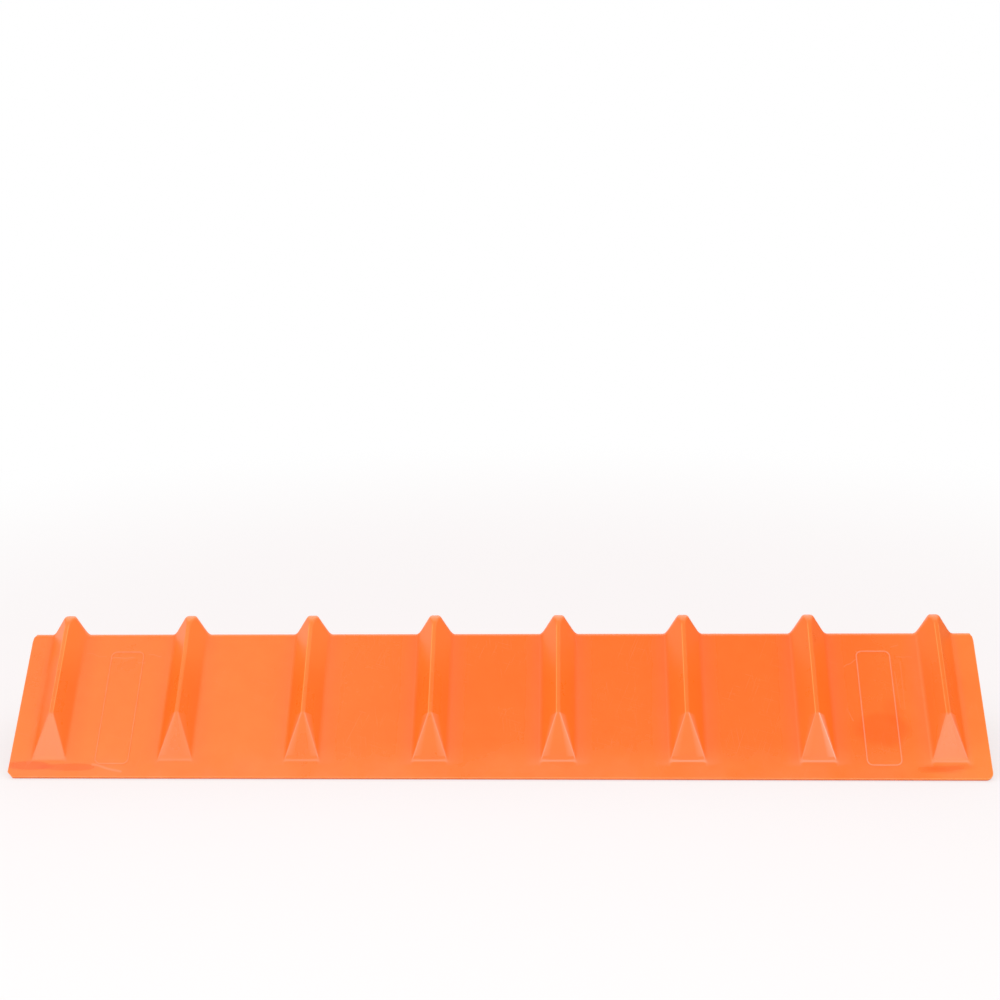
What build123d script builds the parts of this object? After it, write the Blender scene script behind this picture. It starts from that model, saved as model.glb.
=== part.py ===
"""Corner protector board for cargo straps, moulded in one piece from orange polyethylene.

The board is a long right-angled channel. It stands on its two free edges like a tent, and
in use it hangs over the corner of a load. Eight hollow ribs cross the bend, so that a strap
laid over the board can't slide along it, and boards nest into each other in a stack.

Frame: X runs along the board, Z is up, the floor is Z = 0 and the bend runs along Y = 0.
A place on a leg is given by its run, the distance down from the sharp outer corner that the
bend rounds off, and its height, the distance off the leg's outer face.

The outer skin is modelled as a full solid, and so is the hollow beneath it, by the same
functions with every face moved inwards by the wall. The board is the one less the other.
"""

from build123d import *
import os
from math import atan, cos, radians, sin, tan

# ---- Board (millimetres and degrees) ----
board_length = 1219.2       # four feet
leg_width = 203.2           # sharp outer corner of the bend to the free edge
leg_slope = 45.0            # fall of each leg below the level
wall = 5.0                  # the same everywhere
bend_inside_radius = 3.0
edge_radius = 1.2           # outer rim
corner_radius = 9.0         # three of the four free corners
corner_chamfer = 7.0        # the fourth one, in front on the left
bend_corner = 8.0           # both ends where they reach the bend, seen from in front
bend_corner_turn = 70.0     # arc of that rounding, from the upright end towards the bend

# ---- Ribs ----
rib_pitch = 160.0           # leaves a bed for a 100 mm strap between two ribs
end_space = 40.0            # least distance from the middle of a rib to the board's end
rib_height = 22.2           # crest above the leg face
flank_angle = 48.7          # flanks above the leg face
crest_radius = 2.2          # edges of the crest and of the end facets
crest_flat = 2.6            # left between the crest's two rounded edges
peak_radius = 24.0          # crest where it turns over the bend
facet_length = 55.0         # sloping end of a rib, measured down the leg
foot_space = 23.2           # foot of the end facet to the free edge
root_radius = 6.0           # where a rib grows out of the leg

# ---- Plain raised frames, in the two end bays of the front leg ----
frame_width = 44.0
frame_top_space = 28.0      # sharp outer corner to the frame
frame_foot_space = 17.2     # frame to the free edge
frame_corner = 8.0
frame_line = 2.0            # width of the raised line
frame_height = 0.6

tiny = 0.01                 # slack when edges are chosen by their place

# ---- Worked out from the sizes above ----
slope = radians(leg_slope)
flank = radians(flank_angle)
bend_radius = bend_inside_radius + wall
apex_height = leg_width * sin(slope) + wall * cos(slope)
bend_top = apex_height - bend_radius * (1 / cos(slope) - 1)
foot_run = leg_width - foot_space
crest_run = foot_run - facet_length
facet_slope = atan(rib_height / facet_length)
crest_half_width = crest_flat / 2 + crest_radius * tan(flank / 2)
ridge_height = rib_height + crest_half_width * tan(flank)
rib_half_width = ridge_height / tan(flank)
bend_corner_drop = bend_corner * sin(radians(bend_corner_turn))
rib_count = int((board_length - 2 * end_space) // rib_pitch) + 1
rib_places = [(n - (rib_count - 1) / 2) * rib_pitch for n in range(rib_count)]
frame_length = leg_width - frame_top_space - frame_foot_space

along = Vector(1, 0, 0)
down_leg = Vector(0, -cos(slope), -sin(slope))
off_leg = Vector(0, -sin(slope), cos(slope))
apex = Vector(0, 0, apex_height)
across_leg = Plane(origin=apex, x_dir=along, z_dir=down_leg)
leg_face = Plane(origin=apex, x_dir=along, z_dir=off_leg)


def run_of(point):
    """Distance of a point down the nearer leg."""
    return abs(point.Y) * cos(slope) + (apex_height - point.Z) * sin(slope)


def height_of(point):
    """Distance of a point off the outer face of the nearer leg."""
    return abs(point.Y) * sin(slope) - (apex_height - point.Z) * cos(slope)


def side_point(run, height):
    """Point of the front leg in side view, as (Y, Z)."""
    point = apex + down_leg * run + off_leg * height
    return (point.Y, point.Z)


def tent(half_outline, top_radius, half_length):
    """Solid with a symmetrical side view, rounded at its top, of a length along X."""
    with BuildPart() as solid:
        with BuildSketch(Plane.YZ):
            with BuildLine():
                half = Polyline(*half_outline)
                mirror(half, about=Plane.YZ)
            make_face()
            fillet(vertices().sort_by(Axis.Y)[-1], top_radius)
        extrude(amount=half_length, both=True)
    return solid.part


def rib_body(inset, bend):
    """One rib at X = 0, every outer face moved inwards by inset, with its foot in the wall."""
    top = rib_height - inset
    sunk = inset + wall / 2
    crest_end = crest_run - inset * tan(facet_slope / 2)
    side_view = [
        (0, apex_height + top / cos(slope)),
        side_point(crest_end, top),
        side_point(crest_end + (top + sunk) / tan(facet_slope), -sunk),
        (0, apex_height - sunk / cos(slope)),
    ]
    ridge = ridge_height - inset / cos(flank)
    depth = 2 * leg_width
    half_width = (ridge + depth) / tan(flank)
    with BuildPart() as rib:
        add(tent(side_view, peak_radius - inset, 2 * rib_half_width))
        # the flanks of the front leg's stretch, and mirrored, those of the rear leg's
        with BuildSketch(across_leg):
            with BuildLine():
                Polyline((-half_width, -depth), (half_width, -depth), (0, ridge), close=True)
            make_face()
        extrude(amount=depth, both=True, mode=Mode.INTERSECT)
        mirror(about=Plane.XZ, mode=Mode.INTERSECT)
        # flanks turn over the bend in mitres
        over_bend = rib.edges().filter_by_position(Axis.Y, -tiny, tiny).sort_by(Axis.Z)[-2:]
        fillet(over_bend, bend)
    return rib.part


def rounded_crest(rib):
    """The rib with its crest and the edges of its end facets rounded."""
    with BuildPart() as rounded:
        add(rib)
        above_base = rounded.edges().filter_by(lambda e: height_of(e.center()) > tiny - wall / 2)
        fillet(above_base, crest_radius)
    return rounded.part


def on_outer_rim(edge):
    """True for the outer edges of the board's ends and free edges."""
    at_end = abs(edge.center().X) > board_length / 2 - corner_radius / 2
    at_free_edge = run_of(edge.center()) > leg_width - corner_radius / 2
    outside = abs(height_of(edge @ 0)) < tiny and abs(height_of(edge @ 1)) < tiny
    return outside and (at_end or at_free_edge)


# ---- The outer skin, and the hollow beneath it ----
inside_apex = apex_height - wall / cos(slope)
beyond = leg_width + corner_radius
skin_outline = [(0, apex_height), side_point(leg_width, 0), side_point(leg_width, -wall), (0, 0)]
hollow_outline = [(0, inside_apex), side_point(beyond, -wall), (0, side_point(beyond, -wall)[1])]
across_board = [(place, 0, 0) for place in rib_places]

with BuildPart() as skin:
    add(tent(skin_outline, bend_radius, board_length / 2))
    with Locations(*across_board):
        add(rounded_crest(rib_body(0, bend_radius)))
    fillet(skin.edges(Select.NEW), root_radius)

with BuildPart() as hollow:
    add(tent(hollow_outline, bend_inside_radius, board_length / 2 + corner_radius))
    with Locations(*across_board):
        add(rib_body(wall, bend_inside_radius))

with BuildPart() as corner_board:
    add(skin.part)
    add(hollow.part, mode=Mode.SUBTRACT)

    # free corners: three rounded, and one cut straight across
    ends = corner_board.faces().sort_by(Axis.X)
    left_front, left_rear = ends[0].edges().group_by(Axis.Z)[0].sort_by(Axis.Y)
    right_pair = ends[-1].edges().group_by(Axis.Z)[0]
    fillet([left_rear] + list(right_pair), corner_radius)
    left = corner_board.faces().sort_by(Axis.X)[0]
    chamfer(left.edges().group_by(Axis.Z)[0].sort_by(Axis.Y)[0], corner_chamfer)

    # seen from in front, the ends are rounded where they reach the bend
    with BuildSketch(Plane.XZ):
        for side in (-1, 1):
            with Locations((side * board_length / 2, bend_top)):
                Rectangle(2 * bend_corner, 2 * bend_corner_drop)
            with Locations((side * (board_length / 2 - bend_corner), bend_top - bend_corner_drop)):
                Circle(bend_corner, mode=Mode.SUBTRACT)
    extrude(amount=apex_height, both=True, mode=Mode.SUBTRACT)
    fillet(corner_board.edges().filter_by(on_outer_rim), edge_radius)

    # plain frames, raised from the face of the front leg
    frame_middle = -(frame_top_space + frame_length / 2)
    end_bay = (rib_places[-1] + rib_places[-2]) / 2
    with BuildSketch(leg_face.offset(-wall / 2)):
        with Locations((-end_bay, frame_middle), (end_bay, frame_middle)):
            RectangleRounded(frame_width, frame_length, frame_corner)
            RectangleRounded(
                frame_width - 2 * frame_line,
                frame_length - 2 * frame_line,
                frame_corner - frame_line,
                mode=Mode.SUBTRACT,
            )
    extrude(amount=wall / 2 + frame_height)

corner_board.part.label = "corner_board"
os.makedirs("parts", exist_ok=True)
export_step(corner_board.part, "parts/corner_board.step")
print("volume", round(corner_board.part.volume), "mm3, solids", len(corner_board.part.solids()))
print(corner_board.part.bounding_box(), corner_board.part.is_valid)
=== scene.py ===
# %% [markdown]
# # A strap corner board in orange polyethylene
#
# A cargo strap that is pulled tight over a crate cuts into the crate's edge. This board lies
# over that edge and spreads the pull. It is one moulding: two flat legs at a right angle,
# a rounded bend between them, and eight hollow ribs that keep the straps apart.
#
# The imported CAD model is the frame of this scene. It says where everything is and how
# large it is, and the scene gives the board its finished skin, its plastic and its light.

# %% Load the frame
from math import atan, atan2, cos, pi, radians, sin, sqrt, tan

import bpy
import numpy as np
from mathutils import Matrix, Vector


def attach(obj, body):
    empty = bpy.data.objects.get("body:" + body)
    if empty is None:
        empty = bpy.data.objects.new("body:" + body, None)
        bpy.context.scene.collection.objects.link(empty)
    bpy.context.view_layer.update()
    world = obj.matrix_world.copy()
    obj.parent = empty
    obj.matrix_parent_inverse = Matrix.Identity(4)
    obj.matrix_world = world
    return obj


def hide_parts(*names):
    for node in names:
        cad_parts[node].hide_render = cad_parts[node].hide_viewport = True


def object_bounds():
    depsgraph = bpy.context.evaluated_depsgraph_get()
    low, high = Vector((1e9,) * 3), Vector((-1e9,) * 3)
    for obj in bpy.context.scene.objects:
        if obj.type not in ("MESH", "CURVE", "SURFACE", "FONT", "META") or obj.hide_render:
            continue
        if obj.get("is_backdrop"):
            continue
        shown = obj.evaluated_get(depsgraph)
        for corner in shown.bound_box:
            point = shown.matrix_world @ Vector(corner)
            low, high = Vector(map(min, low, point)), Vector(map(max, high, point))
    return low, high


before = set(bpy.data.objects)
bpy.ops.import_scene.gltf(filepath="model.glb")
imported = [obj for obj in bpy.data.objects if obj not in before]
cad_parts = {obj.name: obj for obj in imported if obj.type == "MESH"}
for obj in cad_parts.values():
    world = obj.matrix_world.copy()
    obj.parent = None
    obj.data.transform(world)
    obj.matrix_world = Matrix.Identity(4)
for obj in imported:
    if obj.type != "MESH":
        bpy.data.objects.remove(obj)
cad_low, cad_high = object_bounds()
print("CAD box in metres:", tuple(cad_low), tuple(cad_high))

# %% [markdown]
# ## The camera
#
# The board is seen from in front, a little above, with a long lens from two metres away, so
# its two ends lean only slightly. A camera starts by looking straight down. It is turned in
# three steps: a slight lean about its own line of sight, then up towards the horizon, and then
# about the vertical.

# %% Place the camera
camera_place = (0.1057, -2.0392, 0.7778)
lens_mm = 59.05
look_down = radians(12.570)
turn_left = radians(2.777)
lean = radians(-0.924)

camera = bpy.data.objects.new("camera", bpy.data.cameras.new("camera"))
bpy.context.scene.collection.objects.link(camera)
camera.data.lens = lens_mm
camera.data.clip_end = 50
camera.matrix_world = (
    Matrix.Translation(camera_place)
    @ Matrix.Rotation(turn_left, 4, "Z")
    @ Matrix.Rotation(pi / 2 - look_down, 4, "X")
    @ Matrix.Rotation(lean, 4, "Z")
)
bpy.context.scene.camera = camera
print("camera looks down by", round(look_down * 180 / pi, 1), "degrees")

# %% [markdown]
# ## Wiring nodes
#
# Every finish here is a small network of shader nodes. One helper makes a node, sets its
# options and fills its inputs, and an input that is given another node's output gets a wire.

# %% A helper for nodes


def add_node(tree, kind, inputs=None, **options):
    """A new node in the tree, with its inputs filled by a value or wired to an output."""
    node = tree.nodes.new(kind)
    for name, value in options.items():
        setattr(node, name, value)
    for name, value in (inputs or {}).items():
        if isinstance(value, bpy.types.NodeSocket):
            tree.links.new(value, node.inputs[name])
        else:
            node.inputs[name].default_value = value
    return node


def calculate(tree, operation, *values, clamp=False):
    """Output of a Math node on up to three values or outputs."""
    filled = dict(enumerate(values))
    return add_node(tree, "ShaderNodeMath", filled, operation=operation, use_clamp=clamp).outputs[0]


def sum_of(tree, parts):
    """Parts added up, each given as (amount, output)."""
    total = 0.0
    for amount, output in parts:
        total = calculate(tree, "MULTIPLY_ADD", output, amount, total)
    return total


def vector_math(tree, operation, *values):
    """Vector output of a Vector Math node."""
    filled = dict(enumerate(values))
    return add_node(tree, "ShaderNodeVectorMath", filled, operation=operation).outputs["Vector"]


def vector_number(tree, operation, *values):
    """Number output of a Vector Math node, such as a length or a dot product."""
    filled = dict(enumerate(values))
    return add_node(tree, "ShaderNodeVectorMath", filled, operation=operation).outputs["Value"]


def soft_step(tree, value, low, high):
    """0 below low, 1 above high, and an S-curve between, or the reverse when low is greater."""
    span = {"Value": value, "From Min": low, "From Max": high}
    return add_node(tree, "ShaderNodeMapRange", span, interpolation_type="SMOOTHSTEP").outputs[0]


def new_material(name):
    """An empty material and its node tree, with the output node wired up last."""
    material = bpy.data.materials.new(name)
    material.use_nodes = True
    material.node_tree.nodes.clear()
    return material, material.node_tree


# %% [markdown]
# ## The studio
#
# The board stands on a white table in even light. One wide lamp hangs between camera and board,
# two smaller ones stand left and right of it, and the pale room fills in the rest, brightest
# from above and behind. What the plastic mirrors is a room of its own: a white horizon, a dark
# ceiling, a bright wall behind the board, a soft box up on the left and a dimmer wall on the
# right. The bays in the middle of the board face the dark ceiling, so they show the deepest
# orange.
#
# The floor is white cloth in daylight, but a camera shows even white as grey. So for the
# camera alone most of the floor's light is replaced with white, all of it far away. Near the
# board that white is faintly pink, as light off the orange plastic makes it. The soft shadow
# stays.

# %% The room's light
ROOM_LIGHT = 0.91
OVERHEAD = (0.0, 0.4, 0.917)  # where the room is brightest
OVERHEAD_COSINES = (-0.2, 1.0)
SIDE_LIGHT, ADDED_OVERHEAD = 0.55, 0.9

# what the plastic mirrors, where 1 is the white horizon
CEILING = 0.0
SOFT_BOX = (-0.42, -0.33, 0.845)
SOFT_BOX_LIGHT = 1.2
WALL_BEHIND = 0.6
RIGHT_WALL = 0.1

# where its parts begin and where they are full, in X, Y or Z of a direction of length 1
CEILING_Z = (0.2, 0.45)
BEHIND_Y, BEHIND_X = (0.05, 0.4), (0.8, 0.5)
IN_FRONT_Y = (-0.7, -0.9)
RIGHT_X = (0.1, 0.6)
SOFT_BOX_COSINES = (0.93, 0.99)

world = bpy.data.worlds.new("white_room")
bpy.context.scene.world = world
world.use_nodes = True
tree = world.node_tree
tree.nodes.clear()
path = add_node(tree, "ShaderNodeLightPath").outputs
direction = add_node(tree, "ShaderNodeTexCoord").outputs["Generated"]
part = add_node(tree, "ShaderNodeSeparateXYZ", {"Vector": direction}).outputs

# the mirrored room: a dark ceiling, which stays lit behind the board and low in front of it
high = soft_step(tree, part["Z"], *CEILING_Z)
not_aside = soft_step(tree, calculate(tree, "ABSOLUTE", part["X"]), *BEHIND_X)
behind = calculate(tree, "MULTIPLY", soft_step(tree, part["Y"], *BEHIND_Y), not_aside)
in_front = soft_step(tree, part["Y"], *IN_FRONT_Y)
unlit = calculate(tree, "SUBTRACT", 1.0, calculate(tree, "MAXIMUM", behind, in_front))
ceiling = calculate(tree, "MULTIPLY", high, unlit)
walls = calculate(tree, "MULTIPLY_ADD", ceiling, CEILING - 1, 1.0)
to_right = soft_step(tree, part["X"], *RIGHT_X)
right = calculate(tree, "MULTIPLY_ADD", to_right, RIGHT_WALL - 1, 1.0)
walls = calculate(tree, "MULTIPLY", walls, right)
high_behind = calculate(tree, "MULTIPLY", behind, high)
box_cosine = vector_number(tree, "DOT_PRODUCT", direction, SOFT_BOX)
box = soft_step(tree, box_cosine, *SOFT_BOX_COSINES)
room = sum_of(tree, [(1.0, walls), (SOFT_BOX_LIGHT, box), (WALL_BEHIND, high_behind)])

# the light on the board, for every ray that isn't looked along or mirrored
straight = calculate(tree, "MAXIMUM", path["Is Camera Ray"], path["Is Transmission Ray"])
mirrored = path["Is Glossy Ray"]
other = calculate(tree, "SUBTRACT", 1.0, calculate(tree, "ADD", straight, mirrored), clamp=True)
overhead_cosine = vector_number(tree, "DOT_PRODUCT", direction, OVERHEAD)
overhead = soft_step(tree, overhead_cosine, *OVERHEAD_COSINES)
gradient = calculate(tree, "MULTIPLY_ADD", overhead, ADDED_OVERHEAD, SIDE_LIGHT)
lighting = calculate(tree, "MULTIPLY", other, gradient)
level = sum_of(tree, [(1.0, straight), (room, mirrored), (ROOM_LIGHT, lighting)])
sky = add_node(tree, "ShaderNodeBackground", {"Color": (1, 1, 1, 1), "Strength": level})
add_node(tree, "ShaderNodeOutputWorld", {"Surface": sky.outputs[0]})
print("room light outside the view:", ROOM_LIGHT)

# %% Three wide lamps


def wide_lamp(name, place, aim, width, height, watts):
    """A rectangular lamp that faces the aim point: its own -Z points that way."""
    lamp = bpy.data.objects.new(name, bpy.data.lights.new(name, "AREA"))
    bpy.context.scene.collection.objects.link(lamp)
    lamp.data.shape = "RECTANGLE"
    lamp.data.size, lamp.data.size_y = width, height
    lamp.data.energy = watts
    turn = (Vector(place) - Vector(aim)).to_track_quat("Z", "Y").to_matrix().to_4x4()
    lamp.matrix_world = Matrix.Translation(place) @ turn


wide_lamp("lamp_over", (-0.15, -1.2, 1.15), (-0.15, 0, 0.05), 1.5, 0.6, 6.5)
wide_lamp("lamp_left", (-1.01, -1.4, 0.72), (-0.5, 0, 0.05), 0.3, 0.5, 2.6)
wide_lamp("lamp_right", (0.9, -1.45, 0.68), (0.5, 0, 0.05), 0.3, 0.5, 2.6)

# %% The table
FLOOR_HALF = 6.0
CLOTH = (0.775, 0.765, 0.765, 1)
NEAR_WHITE = (0.985, 0.93, 0.93)  # for the camera alone, near the board
NEAR_SHARE = 0.68  # how much of that white
NEAR, FAR = 0.5, 2.2  # metres

floor_mesh = bpy.data.meshes.new("floor")
corners = [(-FLOOR_HALF, -FLOOR_HALF, 0), (FLOOR_HALF, -FLOOR_HALF, 0)]
corners += [(FLOOR_HALF, FLOOR_HALF, 0), (-FLOOR_HALF, FLOOR_HALF, 0)]
floor_mesh.from_pydata(corners, [], [(0, 1, 2, 3)])
floor = bpy.data.objects.new("floor", floor_mesh)
bpy.context.scene.collection.objects.link(floor)

floor_white, tree = new_material("white_table")
cloth = add_node(tree, "ShaderNodeBsdfDiffuse", {"Color": CLOTH})
place = add_node(tree, "ShaderNodeTexCoord").outputs["Object"]
far = soft_step(tree, vector_number(tree, "LENGTH", place), NEAR, FAR)
tints = [calculate(tree, "MULTIPLY_ADD", far, 1.0 - near, near) for near in NEAR_WHITE]
tint = add_node(tree, "ShaderNodeCombineColor", dict(zip(("Red", "Green", "Blue"), tints)))
white = add_node(tree, "ShaderNodeEmission", {"Color": tint.outputs[0], "Strength": 1.0})
seen = add_node(tree, "ShaderNodeLightPath").outputs["Is Camera Ray"]
fade = calculate(tree, "MULTIPLY_ADD", far, 1.0 - NEAR_SHARE, NEAR_SHARE)
share = calculate(tree, "MULTIPLY", seen, fade)
mixed = add_node(
    tree, "ShaderNodeMixShader", {0: share, 1: cloth.outputs[0], 2: white.outputs[0]}
)
add_node(tree, "ShaderNodeOutputMaterial", {"Surface": mixed.outputs[0]})
floor_mesh.materials.append(floor_white)
floor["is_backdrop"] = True
print("floor reaches", FLOOR_HALF, "m to each side")

# %% [markdown]
# ## The board's form
#
# The mould for such a board is cut from flat planes and then every edge is rounded. The
# skin is computed in the same way. Over each point of the board the height of every plane
# is known: flank, crest and end facet of a rib, and the leg itself. The rib is the lowest of
# its planes, and the board is the highest of rib and leg. Where two planes are almost
# level, a smooth minimum or maximum takes the place of the hard one, and that is the rounded edge.
#
# A grid of lines over the board follows the ribs, so that each edge has lines of its own and
# the flat parts need only a few. The same function is used twice: for the outer skin, and
# one wall lower for the inner skin.

# %% Sizes of the moulding
MM = 0.001
BOARD_LENGTH = cad_high.x - cad_low.x
LEG_WIDTH = 203.2 * MM
WALL = 5 * MM
BEND_RADIUS = 8 * MM
CORNER_RADIUS = 9 * MM
CORNER_CHAMFER = 7 * MM
BEND_CORNER = 5 * MM

RIB_COUNT = 8
RIB_PITCH = 160 * MM
RIB_HEIGHT = 22.2 * MM
FLANK = radians(48.7)
CREST_HALF = 2.3 * MM
PEAK_RADIUS = 24 * MM
FACET_LENGTH = 55 * MM
FOOT_SPACE = 23.2 * MM

quarter = pi / 4
apex_height = (LEG_WIDTH + WALL) * cos(quarter)
bend_centre = apex_height - BEND_RADIUS / cos(quarter)
rib_half = CREST_HALF + RIB_HEIGHT / tan(FLANK)
foot_run = LEG_WIDTH - FOOT_SPACE
crest_run = foot_run - FACET_LENGTH
facet_fall = atan(RIB_HEIGHT / FACET_LENGTH)
rib_places = (np.arange(RIB_COUNT) - (RIB_COUNT - 1) / 2) * RIB_PITCH
print("rib half width at the leg:", round(rib_half / MM, 2), "mm")

# %% Smooth minimum and maximum


def smooth_min(first, second, reach):
    """The lesser of two heights, less (reach - difference)^2 / (4 reach) where they are close."""
    close = np.clip(reach - np.abs(first - second), 0, None)
    return np.minimum(first, second) - close**2 / (4 * reach)


def smooth_max(first, second, reach):
    """The greater of two heights, by the smooth minimum of both upside down."""
    return -smooth_min(-first, -second, reach)


def reach_of(radius, angle):
    """Reach that rounds an edge of an angle: radius * tan(angle/2) * (tan + sin)(angle) / 2."""
    return radius * tan(angle / 2) * (tan(angle) + sin(angle)) / 2


def edge_mark(first, second, reach):
    """1 along the edge where two planes meet, and 0 from one reach away."""
    return np.clip(1 - np.abs(first - second) / reach, 0, 1)


def ramp(value, start, end):
    """0 at the start and 1 at the end, in a straight line and no further."""
    return np.clip((value - start) / (end - start), 0, 1)


# %% The height of a rib over the leg
FACET_BLEND = 1.5 * MM  # over which a flank's root turns into a facet's
FACET_HIGHLIGHT_SPREAD = 1.7  # the painted highlight on a facet's edge reaches this much further than the rounding
# where the painted shade of the root is none and full on the leg's side and on the rib's side, in
# reaches
ROOT_SHADE_OUTSIDE, ROOT_SHADE_INSIDE = (-1.3, -1.05), (1.5, 0.3)
MITRE_SLOPE = atan(tan(FLANK) * sqrt(2))


def mitre_drop(radius):
    """How far rounding lowers the mitre of two flanks: an upright ellipse in a 90 degree tip."""
    tall = radius / cos(MITRE_SLOPE)
    return sqrt(radius**2 + tall**2) - tall


def rib_relief(away, run, turn, skin):
    """Height over the outer face, and marks 0 to 1 of the rib and its root: rounded edges, painted
    highlights, painted root shade.

    away is the distance from the middle of the nearest rib, run the distance down the leg
    from the sharp corner, and turn the angle of the ray from the bend's centre, a quarter of
    a half turn on the legs. A plane at a distance d from the centre meets the ray at
    d / cos(45 degrees - turn). The crest over the bend is a circle round a raised centre.
    """
    inset = skin["inset"]
    turn = np.abs(turn)
    flank_plane = BEND_RADIUS + (rib_half - away) * tan(FLANK) - inset / cos(FLANK)
    near_leg = flank_plane / np.cos(quarter - turn)
    far_leg = flank_plane / np.maximum(np.cos(quarter + turn), 0.001)
    flank = smooth_min(near_leg, far_leg, 4 * mitre_drop(skin["mitre"])) - BEND_RADIUS

    radius = PEAK_RADIUS - inset
    raised = (RIB_HEIGHT - PEAK_RADIUS + BEND_RADIUS) * sqrt(2)
    turned_over = atan2(radius * sin(quarter), raised + radius * cos(quarter))
    circle = raised * np.cos(turn) + np.sqrt(radius**2 - (raised * np.sin(turn)) ** 2)
    straight = (BEND_RADIUS + RIB_HEIGHT - inset) / np.cos(quarter - turn)
    crest = np.where(turn < turned_over, circle, straight) - BEND_RADIUS
    facet = (foot_run - run) * tan(facet_fall) - inset / cos(facet_fall)

    over_bend = 1 - turn / quarter
    tip_reach = reach_of(skin["edge"], facet_fall)
    edge_reach = reach_of(skin["edge"] + skin["peak"] * over_bend, FLANK)
    top = smooth_min(crest, facet, tip_reach)
    rib = smooth_min(flank, top, edge_reach)
    on_facet = 1 / (1 + np.exp((facet - flank) / FACET_BLEND))
    root_reach = reach_of(skin["root"] + skin["peak"] * over_bend, FLANK) * (1 - on_facet)
    root_reach = root_reach + reach_of(skin["root"], facet_fall) * on_facet
    height = smooth_max(rib, -inset, root_reach)

    over_leg = rib + inset
    above = ramp(over_leg, 0, 2 * MM)
    in_reaches = over_leg / root_reach
    root_shade = ramp(in_reaches, *ROOT_SHADE_OUTSIDE) * ramp(in_reaches, *ROOT_SHADE_INSIDE)
    edges = np.maximum(edge_mark(flank, top, edge_reach), edge_mark(crest, facet, tip_reach))
    facet_highlight_line = edge_mark(flank, facet, FACET_HIGHLIGHT_SPREAD * edge_reach)
    marks = {
        "worn_edge": edges * above,
        "on_rib": ramp(over_leg, 0, 3 * MM),
        "root": root_shade * (1 - on_facet),
        "painted_facet_highlight": facet_highlight_line * above * (facet < crest),
        "facet_foot_highlight": edge_mark(facet, -inset, root_reach) * on_facet,
    }
    return height, marks


outer_skin = {"inset": 0.0, "edge": 2 * MM, "peak": 5 * MM, "root": 8 * MM, "mitre": 13 * MM}
inner_skin = {"inset": WALL, "edge": 0.6 * MM, "peak": 0.0, "root": 2 * MM, "mitre": 3 * MM}
outer_skin["rim"], inner_skin["rim"] = 1.2 * MM, 0.6 * MM
print("crest at the peak:", rib_relief(0.0, BEND_RADIUS, 0.0, outer_skin)[0] / MM, "mm")

# %% [markdown]
# ### The lines of the grid
#
# One family of lines runs over the bend from free edge to free edge, the other along the
# board. The lines near a rib keep to its edges: at each row the half width of the rib at its
# top and at its foot is worked out first, and the lines are spread between those two.

# %% Rows from one free edge over the bend to the other


def spread(*stops):
    """Values from the first stop to the last. Each stop after the first is (value, steps)."""
    values = [np.array([stops[0]])]
    for stop, steps in stops[1:]:
        values.append(np.linspace(values[-1][-1], stop, steps + 1)[1:])
    return np.concatenate(values)


def board_rows(rim):
    """Run and turn of every row. Near a free edge the rows follow the rounded corner's arc."""
    leg = spread(
        BEND_RADIUS,
        (30 * MM, 4),
        (crest_run - 6 * MM, 4),
        (crest_run + 4 * MM, 6),
        (foot_run - 6 * MM, 5),
        (foot_run + 3 * MM, 8),
        (LEG_WIDTH - CORNER_RADIUS - 2 * MM, 2),
    )
    arc = np.sin(np.linspace(0, pi / 2, 8))
    corner = LEG_WIDTH - CORNER_RADIUS + (CORNER_RADIUS - rim) * arc
    chamfer_start = LEG_WIDTH - CORNER_CHAMFER - rim * (sqrt(2) - 1)
    leg = np.concatenate([leg, np.sort(np.append(corner, chamfer_start))])
    fan = np.linspace(-quarter, quarter, 27)[1:-1]
    run = np.concatenate([leg[::-1], np.full(fan.size, BEND_RADIUS), leg])
    turn = np.concatenate([np.full(leg.size, -quarter), fan, np.full(leg.size, quarter)])
    return run[:, None], turn[:, None]


run, turn = board_rows(outer_skin["rim"])
print("rows:", run.size)

# %% Columns that keep to the ribs


def rib_lines(run, turn, skin):
    """Distances of the lines of half a rib from its middle, one row of them for each row."""
    inset = skin["inset"]
    crest_height = rib_relief(0 * run, 0 * run, turn, skin)[0]
    facet_height = (foot_run - run) * tan(facet_fall) - inset / cos(facet_fall)
    top = np.clip(np.minimum(crest_height, facet_height), -inset, None)
    lean_of_ray = np.cos(quarter - np.abs(turn))
    other_leg = np.maximum(np.cos(quarter + np.abs(turn)), 0.001)

    def half_width(height):
        """Half of a rib's width at a height of its flanks."""
        ray = BEND_RADIUS + height
        apart = ray * lean_of_ray * (1 / other_leg - 1 / lean_of_ray)
        drop = np.clip(4 * mitre_drop(skin["mitre"]) - apart, 0, None) ** 2
        plane = (ray + drop / (16 * mitre_drop(skin["mitre"]))) * lean_of_ray
        return rib_half - (plane - BEND_RADIUS + inset / cos(FLANK)) / tan(FLANK)

    foot = half_width(-inset + 0 * run)
    crest = np.minimum(half_width(top), foot - 2.2 * MM)
    flank_width = foot - crest
    over_bend = 1 - np.abs(turn) / quarter
    edge = reach_of(skin["edge"] + skin["peak"] * over_bend, FLANK) / tan(FLANK)
    edge_out = np.minimum(edge, 0.3 * flank_width)
    root = reach_of(skin["root"] + skin["peak"] * over_bend, FLANK) / tan(FLANK)
    root_in = np.minimum(root, 0.55 * flank_width)
    inner_edge, outer_edge, inner_root = crest - edge, crest + edge_out, foot - root_in
    lines = [
        *[inner_edge * share for share in (0, 0.5, 1)],
        crest - edge / 2,
        crest,
        crest + edge_out / 2,
        *[outer_edge + (inner_root - outer_edge) * share for share in (0, 0.5, 1)],
        foot - root_in * 0.6,
        foot - root_in * 0.2,
        *[foot + root * share for share in (0.2, 0.6, 1)],
    ]
    return np.concatenate(lines, axis=1)


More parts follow.
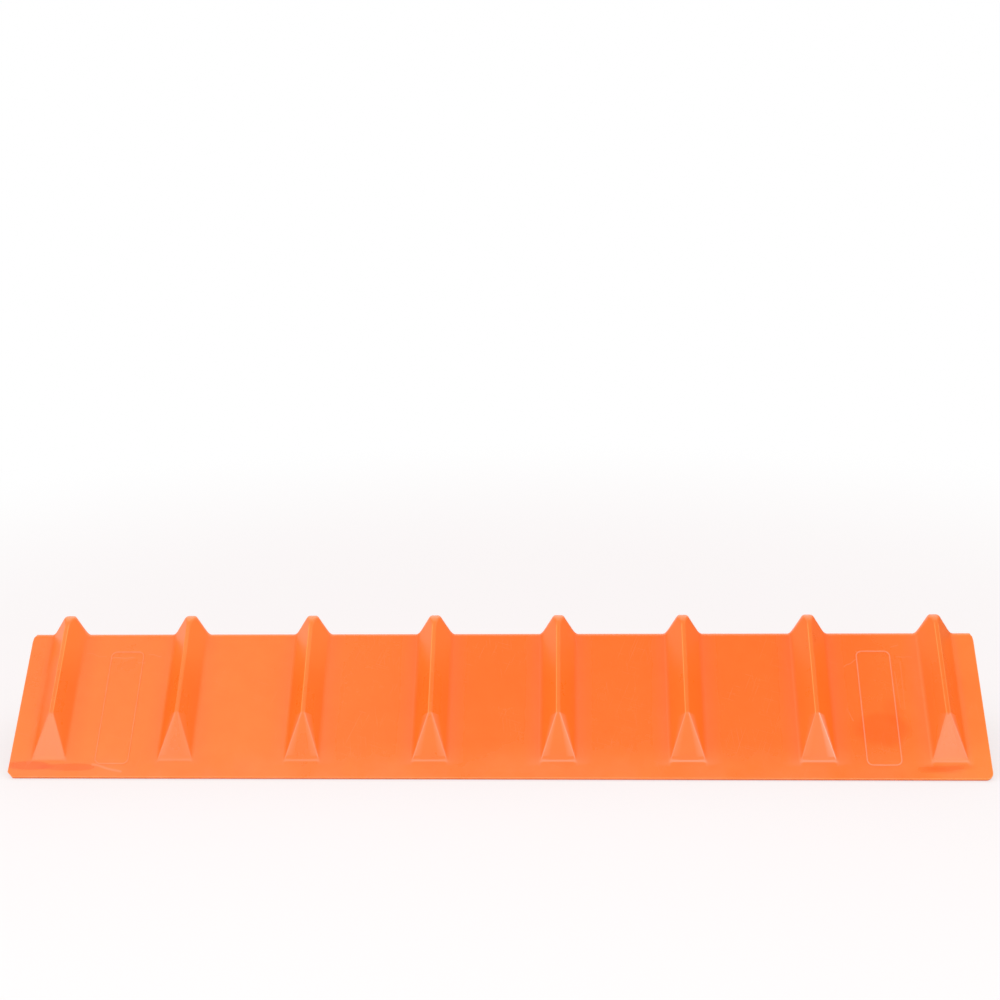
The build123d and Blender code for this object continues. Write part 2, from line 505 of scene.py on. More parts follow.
def end_line(run, turn, side, skin):
    """Where a row ends: the board's end, less a rounded corner or a straight cut in front left.

    Seen from in front, the end is also rounded where it reaches the bend, by a quarter circle.
    """
    rim = skin["rim"]
    below_top = (BEND_RADIUS - skin["inset"]) * (1 - np.cos(turn)) + skin["inset"]
    below_top = below_top + (run - BEND_RADIUS) * sin(quarter)
    to_centre = np.clip(BEND_CORNER - below_top, 0, None)
    half = BOARD_LENGTH / 2 - BEND_CORNER + np.sqrt(BEND_CORNER**2 - to_centre**2)
    into_corner = np.clip(run - (LEG_WIDTH - CORNER_RADIUS), 0, CORNER_RADIUS - rim)
    rounded = half - CORNER_RADIUS + np.sqrt((CORNER_RADIUS - rim) ** 2 - into_corner**2)
    straight = half + LEG_WIDTH - CORNER_CHAMFER - rim * sqrt(2) - run
    cut = np.minimum(half - rim, straight)
    return side * np.where((turn < 0) & (side < 0), cut, rounded)


def board_columns(run, turn, skin):
    """Place along the board of every grid point: rib lines, with the bays evenly divided."""
    lines = rib_lines(run, turn, skin)
    bays = np.linspace(0, 1, 7)[1:-1]
    ends = np.linspace(0, 1, 6)
    left_end, right_end = (end_line(run, turn, side, skin) for side in (-1, 1))
    first = rib_places[0] - lines[:, -1:]
    columns = [left_end + (first - left_end) * ends[:-1]]
    for number, place in enumerate(rib_places):
        columns += [place - lines[:, :0:-1], place + lines]
        if number < RIB_COUNT - 1:
            edge = place + lines[:, -1:]
            gap = rib_places[number + 1] - lines[:, -1:] - edge
            columns.append(edge + gap * bays)
    last = rib_places[-1] + lines[:, -1:]
    columns.append(last + (right_end - last) * ends[1:])
    return np.concatenate(columns, axis=1)


columns = board_columns(run, turn, outer_skin)
print("grid:", columns.shape, "in order:", bool((np.diff(columns, axis=1) > 0).all()))

# %% From the flat grid into the room


def path_directions(turn):
    """Off the face, and onwards along the path from front edge over the bend to rear edge."""
    zero = 0 * turn
    off_face = np.stack([zero, np.sin(turn), np.cos(turn)], axis=-1)
    onwards = np.stack([zero, np.cos(turn), -np.sin(turn)], axis=-1)
    return off_face, onwards


def lay_out(along, run, turn, height):
    """Place in the room: bend centre + ray * (bend radius + height) + leg * (run - bend radius)."""
    turn = turn + 0 * along
    off_face, onwards = path_directions(turn)
    down_leg = np.sign(turn) * (run - BEND_RADIUS)
    point = off_face * (BEND_RADIUS + height)[..., None]
    point = point + onwards * (down_leg + 0 * along)[..., None]
    point[..., 0] += along
    point[..., 2] += bend_centre
    return point


# how strong the painted highlight is on the left and the right edge of each rib's crest, for the
# ribs from left to right
LEFT_CREST_HIGHLIGHTS = np.array([0.8, 0.4, 1.0, 1.0, 1.0, 1.0, 1.0, 0.8])
RIGHT_CREST_HIGHLIGHTS = np.array([0.8, 0.0, 0.0, 0.0, 0.0, 0.0, 0.0, 0.8])
# and the painted highlights on the two sides and the foot of its end facet
LEFT_FACET_HIGHLIGHTS = np.array([0.5, 0.9, 1.0, 1.1, 1.2, 0.8, 0.5, 0.4])
RIGHT_FACET_HIGHLIGHTS = np.array([0.2, 0.4, 1.0, 1.1, 1.6, 1.4, 3.2, 1.4])
FACET_FOOT_HIGHLIGHTS = np.array([0.3, 0.3, 0.4, 0.6, 0.9, 1.3, 1.3, 1.0])
CREST_HIGHLIGHT_TURN = (0.45, 0.7)  # painted crest highlights fade out over the bend


def skin_surface(skin):
    """Grid points of one skin, its directions, its marks, and its unrolled places."""
    run, turn = board_rows(skin["rim"])
    along = board_columns(run, turn, skin)
    nearest = np.abs(along[..., None] - rib_places).argmin(axis=-1)
    offset = along - rib_places[nearest]
    height, marks = rib_relief(np.abs(offset), run, turn, skin)
    crest_highlight_strength = np.where(offset < 0, LEFT_CREST_HIGHLIGHTS[nearest], RIGHT_CREST_HIGHLIGHTS[nearest])
    on_crest = (run < crest_run) * ramp(np.abs(turn), *CREST_HIGHLIGHT_TURN)
    # painted highlight: a thin bright line along chosen edges of each crest, in front of the bend
    marks["painted_crest_highlight"] = marks["worn_edge"] ** 2 * crest_highlight_strength * on_crest
    # painted highlight: bright lines along the sides and the foot of each end facet
    facet_side_highlight = np.where(offset < 0, LEFT_FACET_HIGHLIGHTS[nearest], RIGHT_FACET_HIGHLIGHTS[nearest])
    facet_foot_highlight = marks["facet_foot_highlight"] * FACET_FOOT_HIGHLIGHTS[nearest]
    marks["painted_facet_highlight"] = np.maximum(marks["painted_facet_highlight"] * facet_side_highlight, facet_foot_highlight)
    unrolled = BEND_RADIUS * turn + np.sign(turn) * (run - BEND_RADIUS)
    return {
        "points": lay_out(along, run, turn, height),
        "turn": turn + 0 * along,
        "flat": np.stack([along, unrolled + 0 * along], axis=-1),
        "marks": marks,
    }


outside, inside = skin_surface(outer_skin), skin_surface(inner_skin)
print("outer skin reaches up to", round(outside["points"][..., 2].max() / MM, 1), "mm")

# %% [markdown]
# ### The rim
#
# Along its free edges and ends the board shows its cut wall. A ring of points is carried
# round the whole outline: a quarter circle off the outer skin, straight down the wall, and a
# smaller quarter circle onto the inner skin. The direction that points out of the board at
# each point of the outline comes from the two outline edges that meet there.

# %% Rings of points round the outline


def around(grid):
    """The outline of a grid as one loop of points: first row, last column, and back."""
    return np.concatenate([grid[0, :-1], grid[:-1, -1], grid[-1, :0:-1], grid[:0:-1, 0]])


def outward(skin):
    """Direction out of the board along its outline, as long as a mitre needs it to be."""
    flat = around(skin["flat"])
    step = np.roll(flat, -1, axis=0) - flat
    step /= np.linalg.norm(step, axis=1, keepdims=True)
    normal = np.stack([step[:, 1], -step[:, 0]], axis=1)
    before = np.roll(normal, 1, axis=0)
    mitred = (normal + before) / (1 + (normal * before).sum(axis=1, keepdims=True))
    off_face, onwards = path_directions(around(skin["turn"]))
    out = onwards * mitred[:, 1:]
    out[:, 0] += mitred[:, 0]
    return out, off_face


def rim_rings(skin, surface, upwards, steps=4):
    """Quarter circle rings: out by r sin(a), and up or down by r (1 - cos(a))."""
    out, off_face = outward(surface)
    base = around(surface["points"])
    angles = np.linspace(0, pi / 2, steps + 1)[1:]
    rise = upwards * skin["rim"]
    return [base + out * skin["rim"] * sin(a) + off_face * rise * (1 - cos(a)) for a in angles]


rings = rim_rings(outer_skin, outside, -1) + rim_rings(inner_skin, inside, 1, 2)[::-1]
print("rings round the outline:", len(rings), "of", len(rings[0]), "points")

# %% [markdown]
# ### Putting the mesh together
#
# The two skins are sheets of four-sided faces and the rings join them, so the board is one
# closed shell, as thick as the real wall. Marks go with the points, such as how far a point is
# on a rounded edge, where handling wears the plastic, where painted highlights run along crests,
# facet edges and the rim, and how far it is in a root, which gets painted shade. A UV map holds
# each point's place on the unrolled board, where scuffs are easy to place.

# %% Faces of grids and rings


def grid_faces(rows, columns, start, flipped):
    """Four-sided faces of a grid whose points are numbered row by row."""
    number = start + np.arange(rows * columns).reshape(rows, columns)
    corners = [number[:-1, :-1], number[:-1, 1:], number[1:, 1:], number[1:, :-1]]
    faces = np.stack(corners[::-1] if flipped else corners, axis=-1)
    return faces.reshape(-1, 4)


def ring_faces(loops):
    """Faces between each closed loop of point numbers and the next one."""
    faces = []
    for upper, lower in zip(loops[:-1], loops[1:]):
        corners = [upper, lower, np.roll(lower, -1), np.roll(upper, -1)]
        faces.append(np.stack(corners, axis=-1))
    return np.concatenate(faces)


rows, width = outside["turn"].shape
outer_number = np.arange(rows * width).reshape(rows, width)
inner_number = outer_number + rows * width
first_ring = 2 * rows * width
ring_points = np.arange(len(rings) * len(rings[0])).reshape(len(rings), -1)
loops = [around(outer_number), *(first_ring + ring_points), around(inner_number)]
faces = np.concatenate(
    [
        grid_faces(rows, width, 0, False),
        grid_faces(rows, width, rows * width, True),
        ring_faces(loops),
    ]
)
points = np.concatenate([outside["points"].reshape(-1, 3), inside["points"].reshape(-1, 3), *rings])
print("points:", len(points), "faces:", len(faces))

# %% The board's object


def new_piece(name, points, faces):
    """A mesh object in the frame's place, from arrays of points and of four-sided faces."""
    mesh = bpy.data.meshes.new(name)
    mesh.vertices.add(len(points))
    mesh.vertices.foreach_set("co", points.astype(np.float32).ravel())
    mesh.loops.add(faces.size)
    mesh.loops.foreach_set("vertex_index", faces.astype(np.int32).ravel())
    mesh.polygons.add(len(faces))
    mesh.polygons.foreach_set("loop_start", np.arange(0, faces.size, 4, dtype=np.int32))
    mesh.polygons.foreach_set("use_smooth", np.full(len(faces), True))
    mesh.update(calc_edges=True)
    mesh.validate()
    piece = bpy.data.objects.new(name, mesh)
    bpy.context.scene.collection.objects.link(piece)
    return piece


def point_mark(piece, name, values):
    """A number for each point of a piece, which materials read by its name."""
    mark = piece.data.attributes.new(name, "FLOAT", "POINT")
    mark.data.foreach_set("value", values.astype(np.float32).ravel())


# rounded edges, the ribs, their roots with painted shade, and the painted highlight lines of their
# crests and end facets
MARKS = ("worn_edge", "on_rib", "root", "painted_crest_highlight", "painted_facet_highlight")
INNER_MARKS = ("on_rib", "root")
RIM_HIGHLIGHTS = [0.45, 0.45, 0.3, 0.15, 0.0, 0.0]  # painted highlight on the rim, from the outer ring to the inner one

ring_flat = [around(outside["flat"])] * len(rings)
flat = np.concatenate([outside["flat"].reshape(-1, 2), inside["flat"].reshape(-1, 2), *ring_flat])
ring_ones = np.ones(len(rings) * len(rings[0]))
ring_marks = {"worn_edge": ring_ones, "painted_crest_highlight": np.repeat(RIM_HIGHLIGHTS, len(rings[0]))}

board = new_piece("corner_board_skin", points, faces)
for name in MARKS:
    outer = outside["marks"][name].ravel()
    inner = inside["marks"][name].ravel() * (name in INNER_MARKS)
    on_rings = ring_marks.get(name, 0 * ring_ones)
    point_mark(board, name, np.concatenate([outer, inner, on_rings]))
unrolled = board.data.uv_layers.new(name="unrolled")
unrolled.data.foreach_set("uv", flat[faces.ravel()].astype(np.float32).ravel())
flats_first = board.modifiers.new("flats_first", "WEIGHTED_NORMAL")
flats_first.weight = 100
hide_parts("corner_board")
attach(board, "root")
print(board.name, "has", len(board.data.polygons), "faces")

# %% [markdown]
# ## The plain frames
#
# In the two end bays the mould has a raised line in the shape of a rounded rectangle, an
# empty field. The line is a low half ellipse carried round the rectangle, with its base sunk a
# little into the leg, as fused plastic is.

# %% Two raised frames
FRAME_WIDTH = 44 * MM
FRAME_TOP = 28 * MM
FRAME_FOOT = LEG_WIDTH - 17.2 * MM
FRAME_CORNER = 8 * MM
LINE_HALF = 1 * MM
LINE_HEIGHT = 0.6 * MM
LINE_SUNK = 0.4 * MM


def raised_frame(name, middle, top_highlight):
    """A half ellipse carried round a rectangle whose corners are arcs of a quarter turn.

    middle is its place along the board, and the third argument how much painted highlight its top
    carries.
    """
    arc = np.linspace(0, pi / 2, 9)
    angle = (np.arange(4)[:, None] * pi / 2 + arc).ravel()
    centre_along = np.repeat(np.array([1, -1, -1, 1]) * (FRAME_WIDTH / 2 - FRAME_CORNER), arc.size)
    half_length = (FRAME_FOOT - FRAME_TOP) / 2
    centre_down = np.repeat(np.array([1, 1, -1, -1]) * (half_length - FRAME_CORNER), arc.size)
    sweep = np.linspace(0, pi, 9)
    across = np.concatenate([LINE_HALF * np.cos(sweep), [-LINE_HALF, LINE_HALF]])
    height = np.concatenate([LINE_HEIGHT * np.sin(sweep), [-LINE_SUNK, -LINE_SUNK]])
    radius = FRAME_CORNER - LINE_HALF + across[None, :]
    along = middle + centre_along[:, None] + radius * np.cos(angle)[:, None]
    down = (FRAME_TOP + FRAME_FOOT) / 2 + centre_down[:, None] + radius * np.sin(angle)[:, None]
    points = lay_out(along, down, np.full(along.shape, -quarter), height + 0 * along)
    number = np.arange(along.size).reshape(along.shape)
    corners = [number, np.roll(number, -1, 1), np.roll(np.roll(number, -1, 1), -1, 0)]
    corners.append(np.roll(number, -1, 0))
    faces = np.stack(corners, axis=-1).reshape(-1, 4)
    piece = new_piece(name, points.reshape(-1, 3), faces)
    top = np.clip(height / LINE_HEIGHT, 0, 1) + 0 * along
    frame_marks = {"worn_edge": top, "painted_facet_highlight": top_highlight * top}
    for mark in MARKS:
        point_mark(piece, mark, frame_marks.get(mark, 0 * along))
    place = np.stack([along, BEND_RADIUS * (1 - quarter) - down], axis=-1).reshape(-1, 2)
    piece.data.uv_layers.new(name="unrolled").data.foreach_set(
        "uv", place[faces.ravel()].astype(np.float32).ravel()
    )
    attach(piece, "root")
    return piece


frame_middle = (rib_places[-1] + rib_places[-2]) / 2
frames = [
    raised_frame("frame_left", -frame_middle, 0.35),
    raised_frame("frame_right", frame_middle, 0.7),
]
print([piece.name for piece in frames])

# %% [markdown]
# ## Orange polyethylene
#
# The plastic is coloured through, a red-orange that is as bright as paper in red light and
# almost black in blue. A flat colour would look like paint. On the real board the pigment
# is a little uneven, the satin surface has a fine grain from the mould, and use leaves its marks:
# fine scuffs, a haze along the foot, chalky edges, and single scratches. Light and shade are
# painted in as well: paler, yellower ends where the light is brighter, sheen and highlight
# lines on the ribs, a highlight streak and a paler patch, and painted shade in the ribs'
# roots and in darker patches.
#
# Each effect is a node group that puts out one number or one height. The materials mix these
# into colour and roughness, so an effect can be tuned in one place.

# %% Helpers for node groups


def new_group(name, inputs, output):
    """A node group with named inputs and one number as its output, and the inputs' outputs."""
    group = bpy.data.node_groups.new(name, "ShaderNodeTree")
    for label, kind in inputs.items():
        group.interface.new_socket(label, in_out="INPUT", socket_type="NodeSocket" + kind)
    group.interface.new_socket(output, in_out="OUTPUT", socket_type="NodeSocketFloat")
    return group, add_node(group, "NodeGroupInput").outputs


def close_group(group, value):
    """Wire the group's one output."""
    add_node(group, "NodeGroupOutput", {0: value})


def use_group(tree, group, **inputs):
    """Output of a group that is placed in a material. Spaces in labels are written as _."""
    node = add_node(tree, "ShaderNodeGroup", node_tree=group)
    for label, value in inputs.items():
        socket = node.inputs[label.replace("_", " ")]
        if isinstance(value, bpy.types.NodeSocket):
            tree.links.new(value, socket)
        else:
            socket.default_value = value
    return node.outputs[0]


def noise(tree, place, scale, detail=2.0, roughness=0.5):
    """A noise between 0 and 1 whose blotches are about 1 / scale metres wide."""
    inputs = {"Vector": place, "Scale": scale, "Detail": detail, "Roughness": roughness}
    return add_node(tree, "ShaderNodeTexNoise", inputs).outputs[0]


# %% [markdown]
# ### Pigment and grain
#
# Pigment in moulded plastic follows the flow of the melt. There are clouds as wide as a hand, a
# mottle as wide as a thumb, and specks. The sum is a number around zero, with an amount
# for each of the three. The grain is a height: the slight waviness called orange peel, and
# the fine texture that makes the surface satin.

# %% Pigment clouds
PIGMENT = (("Clouds", 7.0, 2.0), ("Mottle", 48.0, 4.0), ("Specks", 700.0, 1.0))  # scale, detail
tone_inputs = {"Place": "Vector"} | {label: "Float" for label, _, _ in PIGMENT}
tone_group, given = new_group("pigment_tone", tone_inputs, "Tone")
total = None
for label, scale, detail in PIGMENT:
    cloud = noise(tone_group, given["Place"], scale, detail)
    swing = calculate(tone_group, "SUBTRACT", cloud, 0.5)
    part = calculate(tone_group, "MULTIPLY", swing, given[label])
    total = part if total is None else calculate(tone_group, "ADD", total, part)
close_group(tone_group, total)
print("group:", tone_group.name)

# %% Mould grain
grain_group, given = new_group(
    "mould_grain", {"Place": "Vector", "Orange peel": "Float", "Satin": "Float"}, "Height"
)
waves = noise(grain_group, given["Place"], 160.0)
peel = calculate(grain_group, "MULTIPLY", waves, given["Orange peel"])
satin = noise(grain_group, given["Place"], 1500.0, 3.0, 0.6)
close_group(grain_group, calculate(grain_group, "MULTIPLY_ADD", satin, given["Satin"], peel))
print("group:", grain_group.name)

# %% [markdown]
# ### Scuffs and scratches
#
# Hairline scuffs come from straps and from other boards in the stack. A noise that is
# drawn out in one direction gives long thin streaks, and only its highest parts are kept. Three
# such layers cross at a slant. Where the board is scuffed at all is decided by a broad noise.
#
# A single scratch is a stroke between two points: the distance of a place from the segment,
# compared with the scratch's width. A sine across the segment makes it wavy. A soft patch is an
# ellipse whose outline a noise makes uneven.

# %% Hairline scuffs
LAYERS = ((0.3, (18, 1100, 1)), (-1.2, (14, 900, 1)), (1.45, (25, 1300, 1)))  # turn, stretch
scuff_group, given = new_group("hairline_scuffs", {"Place": "Vector", "Amount": "Float"}, "Mask")
layers = []
for turned, stretch in LAYERS:
    slanted = {"Vector": given["Place"], "Angle": turned}
    turn_node = add_node(scuff_group, "ShaderNodeVectorRotate", slanted)
    drawn = vector_math(scuff_group, "MULTIPLY", turn_node.outputs[0], stretch)
    layers.append(soft_step(scuff_group, noise(scuff_group, drawn, 1.0, 2.0), 0.62, 0.78))
two_layers = calculate(scuff_group, "MAXIMUM", *layers[1:])
streaks = calculate(scuff_group, "MAXIMUM", layers[0], two_layers)
patches = soft_step(scuff_group, noise(scuff_group, given["Place"], 16.0, 3.0), 0.42, 0.68)
scuffed = calculate(scuff_group, "MULTIPLY", streaks, patches)
close_group(scuff_group, calculate(scuff_group, "MULTIPLY", scuffed, given["Amount"]))
print("group:", scuff_group.name)

# %% One scratch
stroke_inputs = {"Place": "Vector", "From": "Vector", "To": "Vector", "Width": "Float"}
stroke_inputs.update({"Wave": "Float", "Wave length": "Float"})
stroke_group, given = new_group("scratch", stroke_inputs, "Mask")
reach = vector_math(stroke_group, "SUBTRACT", given["To"], given["From"])
offset = vector_math(stroke_group, "SUBTRACT", given["Place"], given["From"])
squared = vector_number(stroke_group, "DOT_PRODUCT", reach, reach)
along_it = vector_number(stroke_group, "DOT_PRODUCT", offset, reach)
share = calculate(stroke_group, "DIVIDE", along_it, squared, clamp=True)
length = calculate(stroke_group, "SQRT", squared)
covered = calculate(stroke_group, "MULTIPLY", share, length)
phase = calculate(stroke_group, "MULTIPLY", covered, 2 * pi)
phase = calculate(stroke_group, "DIVIDE", phase, given["Wave length"])
shift = calculate(stroke_group, "MULTIPLY", calculate(stroke_group, "SINE", phase), given["Wave"])
scaled = add_node(
    stroke_group, "ShaderNodeVectorMath", {0: reach, "Scale": share}, operation="SCALE"
)
gap = vector_math(stroke_group, "SUBTRACT", offset, scaled.outputs[0])
sideways = add_node(stroke_group, "ShaderNodeCombineXYZ", {"Y": shift}).outputs[0]
gap = vector_math(stroke_group, "SUBTRACT", gap, sideways)
distance = vector_number(stroke_group, "LENGTH", gap)
relative = calculate(stroke_group, "DIVIDE", distance, given["Width"])
close_group(stroke_group, soft_step(stroke_group, relative, 1.0, 0.2))
print("group:", stroke_group.name)

# %% One soft patch
patch_inputs = {"Place": "Vector", "Middle": "Vector", "Half size": "Vector", "Soft edge": "Float"}
patch_group, given = new_group("soft_patch", patch_inputs, "Mask")
offset = vector_math(patch_group, "SUBTRACT", given["Place"], given["Middle"])
relative = vector_math(patch_group, "DIVIDE", offset, given["Half size"])
wobble = calculate(patch_group, "SUBTRACT", noise(patch_group, given["Place"], 20.0, 2.0), 0.5)
radius = vector_number(patch_group, "LENGTH", relative)
radius = calculate(patch_group, "MULTIPLY_ADD", wobble, 0.6, radius)
inner = calculate(patch_group, "SUBTRACT", 1.0, given["Soft edge"])
close_group(patch_group, soft_step(patch_group, radius, 1.0, inner))
print("group:", patch_group.name)

# %% [markdown]
# ### The marks of this board
#
# Places on the front leg are written as millimetres along the board and millimetres down from
# the corner. The unrolled UV map counts down the front leg as negative, from the middle of
# the bend, whose arc is a little shorter than the two sides of the sharp corner.

# %% Marks on the front leg


def on_front(along_mm, run_mm):
    """Place on the unrolled board of a point of the front leg."""
    return (along_mm * MM, BEND_RADIUS * (1 - quarter) - run_mm * MM, 0)


def scratches(tree, place, strokes):
    """Masks of several scratches, each (amount, start, end, half width, wave, wave length)."""
    parts = []
    for amount, start, end, width, wave, wave_length in strokes:
        mask = use_group(
            tree,
            stroke_group,
            Place=place,
            From=on_front(*start),
            To=on_front(*end),
            Width=width * MM,
            Wave=wave * MM,
            Wave_length=wave_length * MM,
        )
        parts.append((amount, mask))
    return sum_of(tree, parts)


def patches_on_front(tree, place, patches):
    """Masks of several soft patches, each (amount, middle, half sizes, soft edge)."""
    parts = []
    for amount, middle, half, soft in patches:
        mask = use_group(
            tree,
            patch_group,
            Place=place,
            Middle=on_front(*middle),
            Half_size=(half[0] * MM, half[1] * MM, 1.0),
            Soft_edge=soft,
        )
        parts.append((amount, mask))
    return sum_of(tree, parts)


scratch_and_glint_strokes = [
    (0.35, (-533, 31), (-508, 36), 1.0, 1.2, 22),
    (0.9, (-501, 37.7), (-472, 37), 1.0, 0.6, 25),
    (0.6, (-465, 44.7), (-456, 44.3), 0.9, 0.4, 9),
    (0.6, (-452, 32.5), (-436, 34.8), 1.0, 0.8, 18),
    (0.6, (504, 23), (513, 20), 1.0, 0.0, 10),
    (0.5, (509, 37), (529, 37), 0.9, 0.5, 12),
    (0.6, (442, 51), (458, 41), 1.0, 0.6, 14),
    (0.5, (459, 29), (464, 31), 0.9, 0.0, 10),
    (0.5, (441, 110), (447, 126), 0.9, 0.4, 15),
    (0.4, (513.5, 43), (512.4, 110), 0.8, 0.0, 10),
    (0.4, (505, 58), (507, 107), 0.8, 0.0, 10),
    # the last stroke is no scratch but a painted highlight streak low on the leg near the left end
    (1.0, (-503, 186), (-466, 196), 2.2, 0.5, 30),
]
# painted light: a paler patch on the left flank of the leftmost rib, which faces the light from the
# left
painted_light_patches = [
    (0.04, (-573, 90), (13, 95), 0.7),
]
# painted shade: darker patches by the right frame and along the foot near both ends, where the
# plastic mirrors something dark
painted_shade_patches = [
    (0.6, (481, 138), (39, 27), 0.4),
    (0.4, (496, 112), (16, 24), 0.8),
    (0.9, (-583, 188), (36, 7.5), 0.5),
    (0.8, (-533, 190), (42, 6.5), 0.5),
    (0.8, (548, 190), (34, 8.0), 0.8),
    (0.4, (574, 187), (22, 6.0), 0.8),
]
print("scratches:", len(scratch_and_glint_strokes), "patches:", len(painted_shade_patches))

# %% [markdown]
# ### Mixing the plastic
#
# The colour starts as the body's orange. Uneven pigment and painted shade give a deeper orange,
# haze and painted light a yellower orange, and chalky wear and painted highlights a pinkish
# white. The yellower orange is painted at the board's ends, where it stands for brighter light,
# and laid along the foot. The ribs have a thin painted sheen of their own, stronger near the
# bend. Hazed and chalky places are rougher too.

# %% Colours and amounts
BODY = (1.0, 0.155, 0.0115, 1)
# the deep orange is uneven pigment and painted shade, the yellower one haze and painted light, the
# pinkish white chalky wear and painted highlights
DEEP_PIGMENT_AND_SHADE = (1.0, 0.093, 0.0055, 1)
SHEEN_AND_HAZE = (1.0, 0.58, 0.13, 1)
CHALK_AND_HIGHLIGHT = (1.0, 0.67, 0.54, 1)

# where a mask is none and full, along the board or as a distance from the bend
LEFT_END, RIGHT_END = (0.0, -0.4), (0.45, 0.6)
LEFT_HALF = (0.15, -0.25)
NEAR_BEND = (85 * MM, 20 * MM)
foot_start = foot_run + BEND_RADIUS * (quarter - 1)
NEAR_FOOT = (foot_start - 30 * MM, foot_start + 15 * MM)

# amounts of haze and painted light: brighter light painted at the ends, a paler foot, painted sheen
# on the ribs and painted highlights on the crests
LEFT_END_LIGHT, RIGHT_END_LIGHT, FOOT_HAZE = 0.07, 0.11, 0.05
RIB_SHEEN, BEND_SHEEN, LEFT_BEND_SHEEN = 0.042, 0.03, 0.04
CREST_HIGHLIGHT_PAINT = 0.42
HAZE_LOST = 0.9  # where painted shade patches lie

# amounts of chalk, among them the painted highlights along the facet edges
SCRATCH_CHALK, SCUFF_CHALK, FOOT_CHALK = 0.1, 0.5, 0.02
EDGE_CHALK, FACET_HIGHLIGHT = 0.05, 0.21

# depth of the colour, and the painted shade of patches and of the ribs' roots
DEPTH, PATCH_SHADE, ROOT_SHADE = 0.12, 0.5, 0.15

SATIN_ROUGHNESS = 0.26
print("colours:", BODY[:3], DEEP_PIGMENT_AND_SHADE[:3], SHEEN_AND_HAZE[:3], CHALK_AND_HIGHLIGHT[:3])

# %% Orange plastic


def mix_colours(tree, share, first, second):
    """Colour between the first, at share 0, and the second, at share 1."""
    mixer = add_node(tree, "ShaderNodeMix", {"Factor": share}, data_type="RGBA")
    for socket, value in ((mixer.inputs[6], first), (mixer.inputs[7], second)):
        if isinstance(value, bpy.types.NodeSocket):
            tree.links.new(value, socket)
        else:
            socket.default_value = value
    return mixer.outputs[2]


def mark_of(tree, name):
    """Value of a point mark."""
    return add_node(tree, "ShaderNodeAttribute", attribute_name=name).outputs["Fac"]


orange, tree = new_material("orange_polyethylene")
in_space = add_node(tree, "ShaderNodeTexCoord").outputs["Object"]
unrolled_place = add_node(tree, "ShaderNodeUVMap", uv_map="unrolled").outputs["UV"]
across, down, _ = add_node(tree, "ShaderNodeSeparateXYZ", {"Vector": unrolled_place}).outputs
edge, on_rib, root, painted_crest_highlight, painted_facet_highlight = (mark_of(tree, name) for name in MARKS)
open_face = calculate(tree, "SUBTRACT", 1.0, on_rib)
from_bend = calculate(tree, "ABSOLUTE", down)

# the effects, each as a mask
tone = use_group(tree, tone_group, Place=in_space, Clouds=0.26, Mottle=0.18, Specks=0.05)
scuffs = use_group(tree, scuff_group, Place=unrolled_place, Amount=0.12)
scuffs = calculate(tree, "MULTIPLY", scuffs, open_face)
marks = scratches(tree, unrolled_place, scratch_and_glint_strokes)
painted_shade = patches_on_front(tree, unrolled_place, painted_shade_patches)
painted_light = patches_on_front(tree, unrolled_place, painted_light_patches)
left_end = soft_step(tree, across, *LEFT_END)
right_end = soft_step(tree, across, *RIGHT_END)
left_half = soft_step(tree, across, *LEFT_HALF)
near_bend = soft_step(tree, from_bend, *NEAR_BEND)
foot = soft_step(tree, from_bend, *NEAR_FOOT)

# painted light and haze: brighter light painted at the ends, uneven on the open face, a paler foot,
# a thin painted sheen on the ribs, and painted crest highlights
not_left = calculate(tree, "MULTIPLY_ADD", left_end, -1.0, 1.0)
right_foot = calculate(tree, "MULTIPLY", foot, not_left)
ends = sum_of(tree, [(LEFT_END_LIGHT, left_end), (RIGHT_END_LIGHT, right_end)])
ends = calculate(tree, "MULTIPLY_ADD", right_foot, FOOT_HAZE, ends)
uneven = calculate(tree, "MULTIPLY", ends, calculate(tree, "MULTIPLY_ADD", tone, 3.0, 1.0))
bend_sheen = calculate(tree, "MULTIPLY_ADD", left_half, LEFT_BEND_SHEEN, BEND_SHEEN)
rib_sheen = calculate(tree, "MULTIPLY", near_bend, bend_sheen)
rib_sheen = calculate(tree, "ADD", rib_sheen, RIB_SHEEN)
sheen_and_haze = sum_of(
    tree,
    [
        (1.0, calculate(tree, "MULTIPLY", uneven, open_face)),
        (1.0, calculate(tree, "MULTIPLY", rib_sheen, on_rib)),
        (CREST_HIGHLIGHT_PAINT, painted_crest_highlight),
    ],
)
kept = calculate(tree, "MULTIPLY_ADD", painted_shade, -HAZE_LOST, 1.0, clamp=True)
sheen_and_haze = calculate(tree, "MULTIPLY", sheen_and_haze, kept, clamp=True)

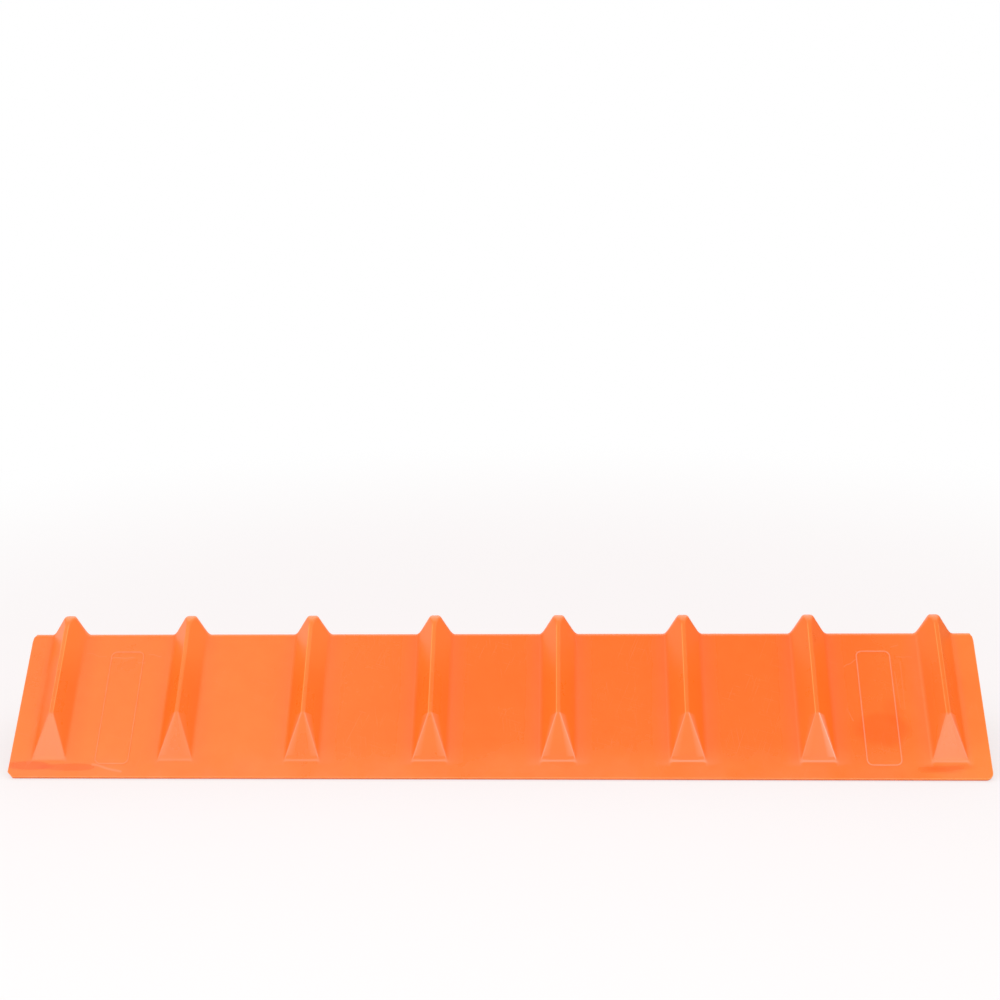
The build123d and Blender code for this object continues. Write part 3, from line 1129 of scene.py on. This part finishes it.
# chalk: scratches, scuffs and worn edges, with painted highlights and a painted paler patch
wear_noise = soft_step(tree, noise(tree, in_space, 60.0, 4.0), 0.25, 0.8)
foot_noise = soft_step(tree, noise(tree, in_space, 20.0, 3.0), 0.3, 0.7)
chalk_and_highlight = sum_of(
    tree,
    [
        (SCRATCH_CHALK, marks),
        (1.0, painted_light),
        (EDGE_CHALK, calculate(tree, "MULTIPLY", edge, wear_noise)),
        (FACET_HIGHLIGHT, painted_facet_highlight),
        (SCUFF_CHALK, scuffs),
        (FOOT_CHALK, calculate(tree, "MULTIPLY", foot, foot_noise)),
    ],
)

# the mixture
# deeper orange: painted shade in patches and in the ribs' roots, and uneven pigment
pigment_and_shade_share = sum_of(tree, [(PATCH_SHADE, painted_shade), (ROOT_SHADE, root), (-1.0, tone)])
pigment_and_shade_share = calculate(tree, "ADD", pigment_and_shade_share, DEPTH, clamp=True)
chalk_and_highlight_share = calculate(tree, "ADD", chalk_and_highlight, 0.0, clamp=True)
colour = mix_colours(tree, pigment_and_shade_share, BODY, DEEP_PIGMENT_AND_SHADE)
colour = mix_colours(tree, sheen_and_haze, colour, SHEEN_AND_HAZE)
colour = mix_colours(tree, chalk_and_highlight_share, colour, CHALK_AND_HIGHLIGHT)
roughness = sum_of(tree, [(1.2, chalk_and_highlight), (0.4, sheen_and_haze), (-0.05, painted_shade), (0.25, tone), (0.12, root)])
roughness = calculate(tree, "ADD", roughness, SATIN_ROUGHNESS, clamp=True)
grain = use_group(tree, grain_group, Place=in_space, Orange_peel=1.0, Satin=0.12)
height = calculate(tree, "MULTIPLY_ADD", chalk_and_highlight, -1.0, grain)
bump = add_node(tree, "ShaderNodeBump", {"Height": height, "Strength": 0.5, "Distance": 0.03 * MM})
body = add_node(
    tree,
    "ShaderNodeBsdfPrincipled",
    {"Base Color": colour, "Roughness": roughness, "IOR": 1.5, "Normal": bump.outputs[0]},
)
add_node(tree, "ShaderNodeOutputMaterial", {"Surface": body.outputs[0]})
for piece in [board, *frames]:
    piece.data.materials.append(orange)
print("coated:", [piece.name for piece in [board, *frames]])

# %% [markdown]
# ## The view and the board's size
#
# The view keeps colours as they are written. The finished board's box is printed, as the CAD
# model's box was at the start.

# %% View, sizes and finish
bpy.context.scene.view_settings.view_transform = "Standard"
low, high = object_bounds()
print("visual box:", tuple(low), tuple(high))
